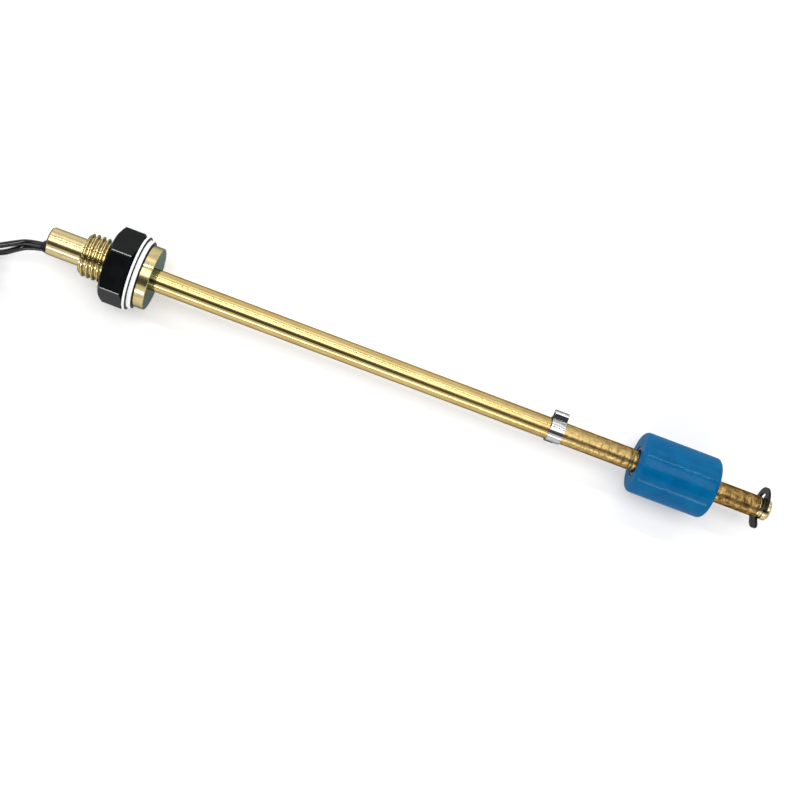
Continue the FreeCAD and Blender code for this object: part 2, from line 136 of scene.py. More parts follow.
# Leads, their exits and their coils
LEAD = 2.2
EXIT = -38.0
EXIT_A = Vector((EXIT, -2.6, 0.95))
EXIT_B = Vector((EXIT, -3.8, -0.95))
FLOOR = -13.75
TIE = 0.6
TIE_WIDTH = 2.5
TIE_TURN = -135.0
COIL_CENTRE = Vector((-66.5, -26.0, 0.0))
COIL_RADIUS = 12.0
COIL_WIDTH = 6.6
COIL_HEIGHT = 4.1
COIL_ENTRY = 110.6
COIL_LIFT = 0.35
LEVEL_B = FLOOR + TIE + LEAD / 2
LEVEL_A = LEVEL_B + COIL_HEIGHT
UPPER_LAYER = COIL_HEIGHT - LEAD
TURN_STEPS = 16
COIL_TURNS = 3 + (270.0 - COIL_ENTRY) / 360
TIP_RADIUS = 0.45
TIP_LENGTH = 7.0

# Each bend of a lead, as its share of the way along, across and down to the coil
BENDS_A = [
    (0.125, 0.064, 0.015),
    (0.251, 0.257, 0.193),
    (0.406, 0.524, 0.439),
    (0.591, 0.790, 0.684),
    (0.788, 0.930, 0.871),
]
BENDS_B = [
    (0.122, 0.113, -0.002),
    (0.245, 0.393, 0.167),
    (0.385, 0.718, 0.455),
    (0.567, 0.890, 0.770),
    (0.770, 0.926, 0.941),
]

# Radius and height of each turn of a coil, from the first to the last
TURNS = [
    (COIL_RADIUS + LEAD, 0.0),
    (COIL_RADIUS, 0.0),
    (COIL_RADIUS - LEAD, 0.0),
    (COIL_RADIUS - LEAD / 2, UPPER_LAYER),
]


# Materials


def paint(code):
    """A colour written as six hexadecimal digits, in the linear values that shaders take."""
    parts = [int(code[index : index + 2], 16) / 255 for index in (0, 2, 4)]
    return tuple(
        part / 12.92 if part <= 0.04045 else ((part + 0.055) / 1.055) ** 2.4 for part in parts
    )


def material(name, colour, roughness, metallic=0.0, **sockets):
    """A principled material; a socket's underscores stand for spaces."""
    made = bpy.data.materials.new(name)
    made.use_nodes = True
    shader = made.node_tree.nodes["Principled BSDF"]
    shader.inputs["Base Color"].default_value = (*paint(colour), 1)
    shader.inputs["Roughness"].default_value = roughness
    shader.inputs["Metallic"].default_value = metallic
    for socket, setting in sockets.items():
        shader.inputs[socket.replace("_", " ")].default_value = setting
    return made


def pattern(made, scale, stretch=(1, 1, 1), detail=4.0, roughness=0.5):
    """A noise pattern in the piece's own coordinates; scale is in features per metre."""
    nodes = made.node_tree.nodes
    links = made.node_tree.links
    place = nodes.new("ShaderNodeTexCoord")
    mapping = nodes.new("ShaderNodeMapping")
    mapping.inputs["Scale"].default_value = stretch
    texture = nodes.new("ShaderNodeTexNoise")
    texture.inputs["Scale"].default_value = scale
    texture.inputs["Detail"].default_value = detail
    texture.inputs["Roughness"].default_value = roughness
    links.new(place.outputs["Object"], mapping.inputs["Vector"])
    links.new(mapping.outputs["Vector"], texture.inputs["Vector"])
    return texture.outputs["Fac"]


def ramp(made, source, stops):
    """A colour ramp from (place, colour) stops."""
    node = made.node_tree.nodes.new("ShaderNodeValToRGB")
    elements = node.color_ramp.elements
    while len(elements) < len(stops):
        elements.new(0.5)
    for element, (place, colour) in zip(elements, stops):
        element.position = place
        element.color = (*colour, 1) if isinstance(colour, tuple) else (colour, colour, colour, 1)
    made.node_tree.links.new(source, node.inputs["Fac"])
    return node.outputs["Color"]


def graded(owner, source, start, end, low=0.0, high=1.0, smooth=False):
    """A number that goes from low to high while its source goes from start to end."""
    node = owner.node_tree.nodes.new("ShaderNodeMapRange")
    node.interpolation_type = "SMOOTHSTEP" if smooth else "LINEAR"
    node.inputs["From Min"].default_value = start
    node.inputs["From Max"].default_value = end
    node.inputs["To Min"].default_value = low
    node.inputs["To Max"].default_value = high
    owner.node_tree.links.new(source, node.inputs["Value"])
    return node.outputs["Result"]


def worked_out(owner, operation, *sources):
    """A number made from one or two others."""
    node = owner.node_tree.nodes.new("ShaderNodeMath")
    node.operation = operation
    for socket, source in zip(node.inputs, sources):
        if isinstance(source, float):
            socket.default_value = source
        else:
            owner.node_tree.links.new(source, socket)
    return node.outputs[0]


def feed(made, source, socket):
    shader = made.node_tree.nodes["Principled BSDF"]
    made.node_tree.links.new(source, shader.inputs[socket])


def bump(made, source, depth, strength=1.0):
    """Raise the surface by a pattern; depth is in millimetres."""
    node = made.node_tree.nodes.new("ShaderNodeBump")
    node.inputs["Distance"].default_value = depth * MM
    node.inputs["Strength"].default_value = strength
    made.node_tree.links.new(source, node.inputs["Height"])
    feed(made, node.outputs["Normal"], "Normal")
    feed(made, node.outputs["Normal"], "Coat Normal")


def coat_finish(made, roughness):
    """The gloss of a moulded skin, as its coat's roughness."""
    shader = made.node_tree.nodes["Principled BSDF"]
    shader.inputs["Coat Roughness"].default_value = roughness


def tint_edges(made, colour):
    """What a metal reflects at a grazing angle."""
    shader = made.node_tree.nodes["Principled BSDF"]
    shader.inputs["Specular Tint"].default_value = (*paint(colour), 1)


def turned_brass():
    made = material("turned_brass", "c8b687", 0.16, 1.0)
    tint_edges(made, "6f8a98")
    tone = pattern(made, 900, (0.4, 1, 1))
    feed(made, ramp(made, tone, [(0.3, paint("bba876")), (0.7, paint("cdbb8c"))]), "Base Color")
    marks = pattern(made, 1500, (8, 0.3, 0.3))
    feed(made, ramp(made, marks, [(0.3, 0.1), (0.75, 0.22)]), "Roughness")
    bump(made, marks, 0.01, 0.25)
    return made


def tube_brass():
    """Drawn brass: clean near the flange, brown and mottled beyond the stop clip."""
    made = material("tube_brass", "c4b17c", 0.2, 1.0)
    tint_edges(made, "5d4a2c")
    nodes = made.node_tree.nodes
    links = made.node_tree.links
    place = nodes.new("ShaderNodeTexCoord")
    split = nodes.new("ShaderNodeSeparateXYZ")
    links.new(place.outputs["Object"], split.inputs["Vector"])
    along = split.outputs["X"]
    clean = ramp(made, pattern(made, 500, (0.2, 1, 1)), [(0.3, paint("b8a068")), (0.7, paint("c9b37a"))])
    blotches = pattern(made, 700, (0.6, 1, 1), 8.0, 0.65)
    worn = ramp(made, blotches, [(0.38, paint("5d4526")), (0.6, paint("a08450"))])
    blend = nodes.new("ShaderNodeMix")
    blend.data_type = "RGBA"
    links.new(graded(made, along, *BROWNING), blend.inputs["Factor"])
    links.new(clean, blend.inputs["A"])
    links.new(worn, blend.inputs["B"])
    feed(made, blend.outputs["Result"], "Base Color")
    feed(made, graded(made, along, *DULLING, 0.14, 0.34), "Roughness")
    notches = pattern(made, 560, (1, 0.25, 0.25), 2.0)
    relief = worked_out(made, "MULTIPLY", notches, graded(made, along, *NOTCHING, 0.03))
    bump(made, relief, 0.8)
    return made


def bright_steel():
    made = material("bright_steel", "b4b6b8", 0.1, 1.0)
    tint_edges(made, "4a4d50")
    marks = pattern(made, 1200, (1, 0.4, 0.4))
    feed(made, ramp(made, marks, [(0.3, 0.05), (0.8, 0.16)]), "Roughness")
    return made


def black_steel():
    made = material("black_steel", "0c0d0e", 0.3, Specular_IOR_Level=0.0, Coat_Weight=0.3)
    coat_finish(made, 0.2)
    marks = pattern(made, 1500)
    feed(made, ramp(made, marks, [(0.3, paint("090a0b")), (0.75, paint("161718"))]), "Base Color")
    bump(made, marks, 0.02, 0.5)
    return made


def white_rubber():
    made = material("white_rubber", "e9eae9", 0.55)
    tone = pattern(made, 300)
    feed(made, ramp(made, tone, [(0.3, paint("e2e3e2")), (0.7, paint("eeefee"))]), "Base Color")
    bump(made, pattern(made, 2500), 0.01, 0.4)
    return made


def white_nylon():
    made = material("white_nylon", "e4e5e3", 0.4, Subsurface_Weight=0.1)
    made.node_tree.nodes["Principled BSDF"].inputs["Subsurface Scale"].default_value = 1.0 * MM
    tone = pattern(made, 400)
    feed(made, ramp(made, tone, [(0.3, paint("d9dad8")), (0.7, paint("e9eae8"))]), "Base Color")
    return made


def black_nylon():
    made = material("black_nylon", "0a0c0c", 0.4, Specular_IOR_Level=0.0, Coat_Weight=0.22)
    coat_finish(made, 0.12)
    tone = pattern(made, 250)
    feed(made, ramp(made, tone, [(0.3, paint("090b0b")), (0.75, paint("101414"))]), "Base Color")
    bump(made, pattern(made, 900), 0.02, 0.15)
    return made


def rubbed_nylon():
    """The nut's corners, worn smooth and shinier than its sides."""
    made = material("rubbed_nylon", "1c1e20", 0.07, Coat_Weight=1.0, Coat_IOR=2.0)
    coat_finish(made, 0.05)
    tone = pattern(made, 900)
    feed(made, ramp(made, tone, [(0.3, paint("16181a")), (0.7, paint("232527"))]), "Base Color")
    return made


def blue_float():
    made = material("blue_float", "02537f", 0.5, Specular_IOR_Level=0.0, Coat_Weight=0.17)
    coat_finish(made, 0.12)
    tone = pattern(made, 180, (1, 1, 1), 6.0)
    feed(made, ramp(made, tone, [(0.3, paint("005080")), (0.7, paint("025d8b"))]), "Base Color")
    bump(made, pattern(made, 130, (1, 1, 1), 3.0), 0.45, 0.6)
    return made


def lead_pvc():
    made = material("lead_pvc", "060607", 0.4, Specular_IOR_Level=0.0, Coat_Weight=0.8)
    coat_finish(made, 0.05)
    tone = pattern(made, 300)
    feed(made, ramp(made, tone, [(0.3, paint("040405")), (0.75, paint("0a0a0b"))]), "Base Color")
    bump(made, pattern(made, 500), 0.02, 0.15)
    return made


def resin():
    made = material("resin", "130d15", 0.4, Specular_IOR_Level=0.0, Coat_Weight=0.35)
    coat_finish(made, 0.15)
    tone = pattern(made, 700)
    feed(made, ramp(made, tone, [(0.35, paint("0d080f")), (0.7, paint("21172a"))]), "Base Color")
    bump(made, pattern(made, 900), 0.12, 0.6)
    return made


def speckled(name, colour, darker, roughness, metallic=0.0):
    """A plain material whose colour and roughness vary a little."""
    made = material(name, colour, roughness, metallic)
    tone = pattern(made, 900)
    feed(made, ramp(made, tone, [(0.3, paint(darker)), (0.7, paint(colour))]), "Base Color")
    bump(made, tone, 0.01, 0.3)
    return made


def clear_glass():
    made = material("switch_glass", "dfeee4", 0.05, IOR=1.5, Transmission_Weight=1.0)
    streaks = pattern(made, 600, (0.2, 1, 1))
    feed(made, ramp(made, streaks, [(0.3, paint("d3e8da")), (0.7, paint("e8f4ec"))]), "Base Color")
    return made


MATERIALS = {
    "turned_brass": turned_brass(),
    "tube_brass": tube_brass(),
    "bright_steel": bright_steel(),
    "black_steel": black_steel(),
    "white_rubber": white_rubber(),
    "white_nylon": white_nylon(),
    "black_nylon": black_nylon(),
    "rubbed_nylon": rubbed_nylon(),
    # Dark grey painted shade for the washers' seams, standing for the shadow between the washers and the
    # flange
    "seam_painted_shade": speckled("seam_painted_shade", "2a2926", "191817", 0.7),
    "blue_float": blue_float(),
    "dark_liner": speckled("dark_liner", "16242c", "0e171d", 0.35),
    "ferrite": speckled("ferrite", "34363a", "26282b", 0.6),
    "switch_glass": clear_glass(),
    "blade_alloy": speckled("blade_alloy", "c2beb4", "a8a49a", 0.3, 1.0),
    "sleeve_plastic": speckled("sleeve_plastic", "ded9cd", "cfc9bb", 0.5),
    "tinned_copper": speckled("tinned_copper", "cfcbc0", "b4b0a4", 0.28, 1.0),
    "resin": resin(),
    "lead_pvc": lead_pvc(),
    "tie_plastic": speckled("tie_plastic", "e3e3de", "d4d4ce", 0.45),
}

# Building pieces


def piece(name, verts, faces, slot, body, *nodes, bevel=0.0, crease=35.0):
    """A mesh piece from corners in millimetres, riding on a body in place of its CAD nodes."""
    mesh = bpy.data.meshes.new(name)
    shape = bmesh.new()
    corners = [shape.verts.new([number * MM for number in corner]) for corner in verts]
    for face in faces:
        shape.faces.new([corners[index] for index in face])
    bmesh.ops.remove_doubles(shape, verts=shape.verts, dist=1e-4 * MM)
    bmesh.ops.recalc_face_normals(shape, faces=shape.faces)
    shape.to_mesh(mesh)
    shape.free()
    for face in mesh.polygons:
        face.use_smooth = True
    mesh.set_sharp_from_angle(angle=math.radians(crease))
    made = bpy.data.objects.new(name, mesh)
    bpy.context.scene.collection.objects.link(made)
    if bevel:
        edge = made.modifiers.new("edge", "BEVEL")
        edge.width = bevel * MM
        edge.segments = 3
        edge.limit_method = "ANGLE"
        edge.angle_limit = math.radians(crease)
    normals = made.modifiers.new("normals", "WEIGHTED_NORMAL")
    normals.keep_sharp = not bevel
    return dress(made, slot, body, *nodes)


def dress(made, slot, body, *nodes):
    """Give a piece its material, its body and the CAD nodes that it stands for."""
    made.data.materials.clear()
    made.data.materials.append(MATERIALS[slot])
    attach(made, body)
    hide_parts(*nodes)
    return made


def softened(corners, steps=5):
    """An outline whose (a, b, rounding) corners are turned into arcs."""
    points = []
    befores = corners[-1:] + corners[:-1]
    afters = corners[1:] + corners[:1]
    for before, corner, after in zip(befores, corners, afters):
        place = Vector(corner[:2])
        rounding = corner[2] if len(corner) > 2 else 0.0
        if not rounding:
            points.append(tuple(place))
            continue
        back = (Vector(before[:2]) - place).normalized()
        ahead = (Vector(after[:2]) - place).normalized()
        half = back.angle(ahead) / 2
        centre = place + (back + ahead).normalized() * (rounding / math.sin(half))
        first = place + back * (rounding / math.tan(half)) - centre
        last = place + ahead * (rounding / math.tan(half)) - centre
        sweep = first.angle(last)
        for step in range(steps + 1):
            share = step / steps
            arm = first * math.sin((1 - share) * sweep) + last * math.sin(share * sweep)
            points.append(tuple(centre + arm / math.sin(sweep)))
    return points


def round_about(along, radius, angle):
    """A point about the stem's axis; the angle is 0 at the top and grows towards -Y."""
    return (along, -radius * math.sin(angle), radius * math.cos(angle))


def turned(name, outline, slot, body, *nodes, segments=128, shape=None, crease=35.0):
    """A piece turned about the stem's axis from a closed (along, radius) outline."""
    verts = []
    for step in range(segments):
        angle = 2 * math.pi * step / segments
        for along, radius in outline:
            reach = shape(along, radius, angle) if shape else radius
            verts.append(round_about(along, reach, angle))
    count = len(outline)
    faces = []
    for step in range(segments):
        here = step * count
        there = (step + 1) % segments * count
        for index in range(count):
            following = (index + 1) % count
            faces.append((here + index, here + following, there + following, there + index))
    faces = [face for face in faces if not pinched(verts, face)]
    return piece(name, verts, faces, slot, body, *nodes, crease=crease)


def pinched(verts, face):
    """True for a face that lies wholly on the axis."""
    return all(abs(verts[index][1]) + abs(verts[index][2]) < 1e-6 for index in face)


def strip(path, start, width, thickness, closed):
    """Corners and faces of a band that follows a path across the stem's axis."""
    count = len(path)
    verts = []
    for index, (side, up) in enumerate(path):
        before = path[index - 1] if closed or index else path[index]
        after = path[(index + 1) % count] if closed or index < count - 1 else path[index]
        heading = (Vector(after) - Vector(before)).normalized()
        out = Vector((heading.y, -heading.x)) * thickness / 2
        for along, sign in ((start, 1), (start + width, 1), (start + width, -1), (start, -1)):
            verts.append((along, side + sign * out.x, up + sign * out.y))
    faces = []
    for index in range(count if closed else count - 1):
        following = (index + 1) % count
        for corner in range(4):
            beside = (corner + 1) % 4
            faces.append(
                (index * 4 + corner, following * 4 + corner, following * 4 + beside, index * 4 + beside)
            )
    if not closed:
        faces.append((0, 1, 2, 3))
        faces.append(tuple((count - 1) * 4 + corner for corner in range(4)))
    return verts, faces


def together(*parts):
    """Several lists of corners and faces as one."""
    verts = []
    faces = []
    for part_verts, part_faces in parts:
        faces += [tuple(index + len(verts) for index in face) for face in part_faces]
        verts += part_verts
    return verts, faces


def spaced(start, end, step):
    """Evenly spaced numbers from start to end, both included."""
    count = max(1, round(abs(end - start) / step))
    return [start + (end - start) * index / count for index in range(count + 1)]


def eased(number):
    """A smooth rise from 0 to 1."""
    number = min(1.0, max(0.0, number))
    return number * number * (3 - 2 * number)


# Turned fitting, tube and plug


def thread_radius(along, angle):
    """The right-handed thread's surface, tapered off at its start."""
    turn = (along / THREAD_PITCH - angle / (2 * math.pi)) % 1.0
    slope = (abs(turn - 0.5) - CREST_SHARE) / SLOPE_SHARE
    ridge = THREAD_RADIUS - (THREAD_RADIUS - THREAD_ROOT) * eased(slope)
    return min(ridge, THREAD_START_RADIUS + (along - THREAD_END))


def fitting_shape(along, radius, angle):
    """The turned outline, with the thread in place of its crest."""
    if radius == THREAD_RADIUS:
        return thread_radius(along, angle)
    return radius


thread_line = [(along, THREAD_RADIUS) for along in spaced(THREAD_END, UNDERCUT_START, THREAD_STEP)]
turned(
    "fitting",
    softened([(WELL_END, WELL_RADIUS), (STUB_END, WELL_RADIUS, 0.2), (STUB_END, STUB_RADIUS, 0.25)])
    [1:]
    + [(THREAD_END, STUB_RADIUS)]
    + thread_line
    + [(UNDERCUT_START, THREAD_START_RADIUS), (0.0, THREAD_START_RADIUS)]
    + softened(
        [
            (0.0, THREAD_START_RADIUS),
            (0.0, FLANGE_RADIUS, 0.4),
            (FLANGE_THICKNESS, FLANGE_RADIUS, 0.4),
            (FLANGE_THICKNESS, STEM_RADIUS),
        ]
    )[1:]
    + [(SOCKET_END, STEM_RADIUS), (SOCKET_END, STEM_BORE), (WELL_END, STEM_BORE)]
    + [(WELL_END, WELL_RADIUS)],
    "turned_brass",
    "stem",
    "stem_fitting",
    segments=180,
    shape=fitting_shape,
    crease=70.0,
)
turned(
    "tube",
    [(along, STEM_RADIUS) for along in spaced(SOCKET_END, STEM_REACH, 8.0)]
    + [(STEM_REACH, STEM_BORE), (SOCKET_END, STEM_BORE)],
    "tube_brass",
    "stem",
    "stem_tube",
)
turned(
    "plug",
    softened(
        [
            (PLUG_START, 0.0),
            (PLUG_START, STEM_BORE),
            (STEM_REACH, STEM_BORE),
            (STEM_REACH, STEM_RADIUS, 0.1),
            (GROOVE_START, STEM_RADIUS, 0.12),
            (GROOVE_START, GROOVE_RADIUS),
            (GROOVE_END, GROOVE_RADIUS),
            (GROOVE_END, STEM_RADIUS, 0.12),
            (PLUG_END - PLUG_CHAMFER, STEM_RADIUS, 0.3),
            (PLUG_END, STEM_RADIUS - PLUG_CHAMFER, 0.3),
            (PLUG_END, 0.0),
        ]
    ),
    "turned_brass",
    "stem",
    "end_plug",
)

# Washers and nut

thick_washer = turned(
    "thick_washer",
    softened(
        [
            (-SEAL_THICKNESS, WASHER_BORE),
            (-SEAL_THICKNESS, SEAL_RADIUS - SEAL_SEAM_REACH),
            (SEAM - SEAL_THICKNESS, SEAL_RADIUS - SEAL_SEAM_REACH),
            (SEAM - SEAL_THICKNESS, SEAL_RADIUS, 0.2),
            (-SEAM, SEAL_RADIUS, 0.2),
            (-SEAM, SEAL_RADIUS - SEAL_SEAM_REACH),
            (0.0, SEAL_RADIUS - SEAL_SEAM_REACH),
            (0.0, WASHER_BORE),
        ]
    ),
    "white_rubber",
    "stem",
    "seal_washer",
)
thin_washer = turned(
    "thin_washer",
    softened(
        [
            (WASHER_START, WASHER_BORE),
            (WASHER_START, WASHER_RADIUS - WASHER_SEAM_REACH),
            (WASHER_START + SEAM / 2, WASHER_RADIUS, 0.15),
            (WASHER_END - SEAM / 4, WASHER_RADIUS, 0.15),
            (WASHER_END, WASHER_RADIUS - WASHER_SEAM_REACH),
            (WASHER_END, WASHER_BORE),
        ]
    ),
    "white_nylon",
    "nut_washer",
    "nut_washer",
)


def hexagon_radius(angle, sharpness=500.0):
    """The hexagon with a narrow flat on each corner, by angle."""
    total = 0.0
    for facet in range(12):
        facing = math.cos(angle - math.radians(NUT_FACET + 30 * facet))
        reach = NUT_CORNER if facet % 2 else NUT_FLATS / 2
        total += max(0.0, facing * NUT_FLATS / 2 / reach) ** sharpness
    return NUT_FLATS / 2 / total ** (1 / sharpness)


def softer_of(first, second, blend):
    """The smaller of two numbers, blended where they are close."""
    share = min(1.0, max(0.0, 0.5 + (second - first) / (2 * blend)))
    return second + (first - second) * share - blend * share * (1 - share)


HEXAGON = [hexagon_radius(2 * math.pi * step / 360) for step in range(360)]


def nut_shape(along, radius, angle):
    """The nut's outside: the hexagon, cut down by a chamfer at each face."""
    if radius <= NUT_FACE_RADIUS - 1:
        return radius
    corner = NUT_FLATS / math.sqrt(3)
    outer = NUT_FACE_RADIUS + (along - NUT_OUTER) * (corner - NUT_FACE_RADIUS) / NUT_CHAMFER_OUTER
    inner = NUT_FACE_RADIUS + (NUT_INNER - along) * (corner - NUT_FACE_RADIUS) / NUT_CHAMFER_INNER
    sides = HEXAGON[round(angle / (2 * math.pi) * 360) % 360]
    return softer_of(softer_of(sides, outer, 0.12), inner, 0.12)


nut = turned(
    "nut",
    [(NUT_OUTER, NUT_BORE + NUT_MOUTH)]
    + [(along, NUT_FACE_RADIUS) for along in spaced(NUT_OUTER, NUT_INNER, 0.15)]
    + [
        (NUT_INNER, NUT_BORE + NUT_MOUTH),
        (NUT_INNER - NUT_MOUTH, NUT_BORE),
        (NUT_OUTER + NUT_MOUTH, NUT_BORE),
    ],
    "black_nylon",
    "nut",
    "mounting_nut",
    segments=360,
    shape=nut_shape,
    crease=24.0,
)


def on_corner(face):
    """True for the narrow flats on the nut's corners, which are rubbed smooth."""
    lean = math.degrees(math.atan2(-face.normal.y, face.normal.z)) - NUT_FACET - 30
    return abs((lean + 30) % 60 - 30) < 6 and abs(face.normal.x) < 0.2


def in_seam(radius):
    """Tells the faces of a washer that lie deeper than a radius, in its seams, which get painted shade.
    """
    return lambda face: math.hypot(face.center.y, face.center.z) < radius * MM


def second_finish(made, slot, chosen):
    """Another material on the chosen faces of a piece."""
    made.data.materials.append(MATERIALS[slot])
    for face in made.data.polygons:
        if chosen(face):
            face.material_index = 1


second_finish(nut, "rubbed_nylon", on_corner)
# The washers' faces deep in their seams get a dark material: painted shade for the shadow between the
# parts
second_finish(thick_washer, "seam_painted_shade", in_seam(SEAL_RADIUS - SEAL_PAINTED_SHADE))
second_finish(thin_washer, "seam_painted_shade", in_seam(WASHER_RADIUS - WASHER_PAINTED_SHADE))

# Float and its liner

turned(
    "float_skin",
    softened(
        [
            (FLOAT_START, FLOAT_BORE, 0.3),
            (FLOAT_START, FLOAT_RADIUS, FLOAT_ROUND),
            (FLOAT_END, FLOAT_RADIUS, FLOAT_ROUND),
            (FLOAT_END, FLOAT_BORE, 0.3),
            (POCKET_END, FLOAT_BORE),
            (POCKET_END, POCKET_RADIUS),
            (POCKET_START, POCKET_RADIUS),
            (POCKET_START, FLOAT_BORE),
        ],
        10,
    ),
    "blue_float",
    "float",
    "float_body",
    segments=180,
)
turned(
    "liner",
    softened(
        [
            (LINER_START, LINER_BORE, 0.2),
            (LINER_START, LINER_OUTER, 0.2),
            (LINER_END, LINER_OUTER, 0.2),
            (LINER_END, LINER_BORE, 0.2),
        ]
    ),
    "dark_liner",
    "float_carrier",
    "float_liner",
)

# Stop clip


def arc(radius, first, last, step=3.0):
    """Points across the axis at one radius, from one angle in degrees to another."""
    return [
        (-radius * math.sin(math.radians(angle)), radius * math.cos(math.radians(angle)))
        for angle in spaced(first, last, step)
    ]


def stop_clip():
    """A folded band with its pinched ear, and the strap's end lapped over it."""
    middle = STEM_RADIUS + BAND / 2
    half = (EAR_WIDTH - BAND) / 2
    top = EAR_TOP - BAND / 2
    foot = math.degrees(math.asin(half / middle))
    ear = [(half, middle, 0.3), (half, top, EAR_ROUND), (-half, top, EAR_ROUND), (-half, middle, 0.3)]
    turn = Matrix.Rotation(math.radians(EAR_ANGLE), 2)
    ring = arc(middle, foot + 6, 354 - foot)
    path = [tuple(turn @ Vector(point)) for point in softened([(*p, 0) for p in ring] + ear)]
    band = strip(path, STOP_START, STOP_WIDTH, BAND, True)
    lap = STEM_RADIUS + 1.5 * BAND
    ear_place = 360 + EAR_ANGLE
    ear_side = math.degrees(math.asin(EAR_WIDTH / 2 / lap))
    width = STOP_WIDTH * STRAP_SHARE
    before = strip(arc(lap, STRAP_FROM, ear_place - ear_side), STOP_START, width, BAND, False)
    after = strip(arc(lap, ear_place + ear_side, STRAP_TO), STOP_START, width, BAND, False)
    verts, faces = together(band, before, after)
    return piece(
        "clamp", verts, faces, "bright_steel", "stem", "stop_clip", bevel=0.07, crease=50.0
    )


stop_clip()

# Potting


def potting():
    """Resin in the stub's well that stands out in an uneven dome round the leads."""
    rings = 22
    segments = 72
    rim = STUB_RADIUS - 0.15
    verts = []
    for ring in range(rings + 1):
        radius = rim * ring / rings
        for step in range(segments):
            angle = 2 * math.pi * step / segments
            side = radius * math.cos(angle)
            up = radius * math.sin(angle)
            reach = math.hypot(side + DOME_REACH, up) / DOME_REACH
            dome = DOME_HEIGHT * math.sqrt(max(0.0, 1 - min(1.0, reach) ** 2.4))
            dome *= math.sqrt(max(0.0, 1 - (radius / rim) ** 6))
            lump = noise.noise(Vector((side, up, 3.0)) * 1.1)
            dome += DOME_UNEVENNESS * lump * (1 - (radius / rim) ** 4)
            dome = max(dome, DOME_RIM * math.sqrt(max(0.0, 1 - (radius / rim) ** 8)))
            verts.append((STUB_END - 0.05 - max(0.0, dome), side, up))
    for along, radius in ((STUB_END, WELL_RADIUS), (WELL_END, WELL_RADIUS), (WELL_END, 0.0)):
        for step in range(segments):
            angle = 2 * math.pi * step / segments
            verts.append((along, radius * math.cos(angle), radius * math.sin(angle)))
    faces = []
    for ring in range(rings + 3):
        for step in range(segments):
            beside = (step + 1) % segments
            here = ring * segments
            faces.append((here + step, here + beside, here + segments + beside, here + segments + step))
    return piece("dome", verts, faces, "resin", "stem", "potting", crease=60.0)


potting()

# Leads, their coils, bare tips and the tie


def coil_point(turn, radius, level):
    angle = math.radians(COIL_ENTRY) + 2 * math.pi * turn
    return COIL_CENTRE + Vector((radius * math.cos(angle), radius * math.sin(angle), level))


def coil_turns(level, turns, lift):
    """Control points for the turns, each passing to the next over its last part."""
    points = []
    outset = 1 / math.cos(math.pi / TURN_STEPS) ** 0.7
    steps = round(turns * TURN_STEPS)
    for step in range(steps + 1):
        turn = turns * step / steps
        index = int(turn)
        passing = eased((turn - index - 0.75) / 0.25)
        radius, rise = TURNS[min(index, len(TURNS) - 1)]
        next_radius, next_rise = TURNS[min(index + 1, len(TURNS) - 1)]
        radius += (next_radius - radius) * passing
        rise += (next_rise - rise) * passing
        settling = lift * (1 - eased(turn / 0.15))
        points.append(coil_point(turn, radius * outset, level + rise + settling))
    return points


def lead(name, leaving, level, lift, bends, turns, tip, *nodes):
    """A free lead as one smooth curve: out of the potting, down to its coil and round it."""
    coiled = coil_turns(level, turns, lift)
    way = coiled[0] - leaving
    points = [leaving]
    for along, across, down in bends:
        points.append(leaving + Vector((way.x * along, way.y * across, way.z * down)))
    points += coiled
    angle = math.radians(COIL_ENTRY) + 2 * math.pi * turns
    heading = Vector((-math.sin(angle), math.cos(angle), 0))
    points += [points[-1] + heading * reach for reach in (3.0, 7.0, 11.0)]
    curve = bpy.data.curves.new(name, "CURVE")
    curve.dimensions = "3D"
    spline = curve.splines.new("NURBS")
    spline.points.add(len(points) - 1)
    for corner, point in zip(spline.points, points):
        corner.co = (*(point * MM), 1)
    spline.order_u = 3
    spline.use_endpoint_u = True
    spline.resolution_u = 8
    curve.bevel_depth = LEAD / 2 * MM
    curve.bevel_resolution = 6
    curve.use_fill_caps = True
    made = bpy.data.objects.new(name, curve)
    bpy.context.scene.collection.objects.link(made)
    dress(made, "lead_pvc", "stem", *nodes)
    end = bare_tip(name + "_end", points[-1], heading, tip)
    return made


def bare_tip(name, start, heading, node):
    """Seven tinned strands, lightly twisted, that stand out of the lead's end."""
    strand = TIP_RADIUS / 3
    side = Vector((-heading.y, heading.x, 0))
    parts = []
    for index in range(7):
        out = 0.0 if index == 0 else 2 * strand
        verts = []
        for along in spaced(-0.5, TIP_LENGTH, 0.5):
            twist = math.radians(60 * index + 25 * along)
            centre = start + heading * along
            centre += side * out * math.cos(twist) + Vector((0, 0, 1)) * out * math.sin(twist)
            for corner in range(8):
                turn = math.radians(45 * corner)
                edge = side * math.cos(turn) + Vector((0, 0, 1)) * math.sin(turn)
                verts.append(tuple(centre + edge * strand))
        rings = len(verts) // 8
        faces = [tuple(range(8)), tuple(range((rings - 1) * 8, rings * 8))]
        for ring in range(rings - 1):
            for corner in range(8):
                beside = (corner + 1) % 8
                here = ring * 8
                faces.append((here + corner, here + beside, here + 8 + beside, here + 8 + corner))
        parts.append((verts, faces))
    verts, faces = together(*parts)
    return piece(name, verts, faces, "tinned_copper", "stem", node, crease=50.0)


lead(
    "cord_a",
    EXIT_A,
    LEVEL_A,
    COIL_LIFT,
    BENDS_A,
    COIL_TURNS,
    "lead_a_tip",
    "lead_a",
    "lead_a_coil",
)
lead("cord_b", EXIT_B, LEVEL_B, 0.0, BENDS_B, COIL_TURNS, "lead_b_tip", "lead_b", "lead_b_coil")


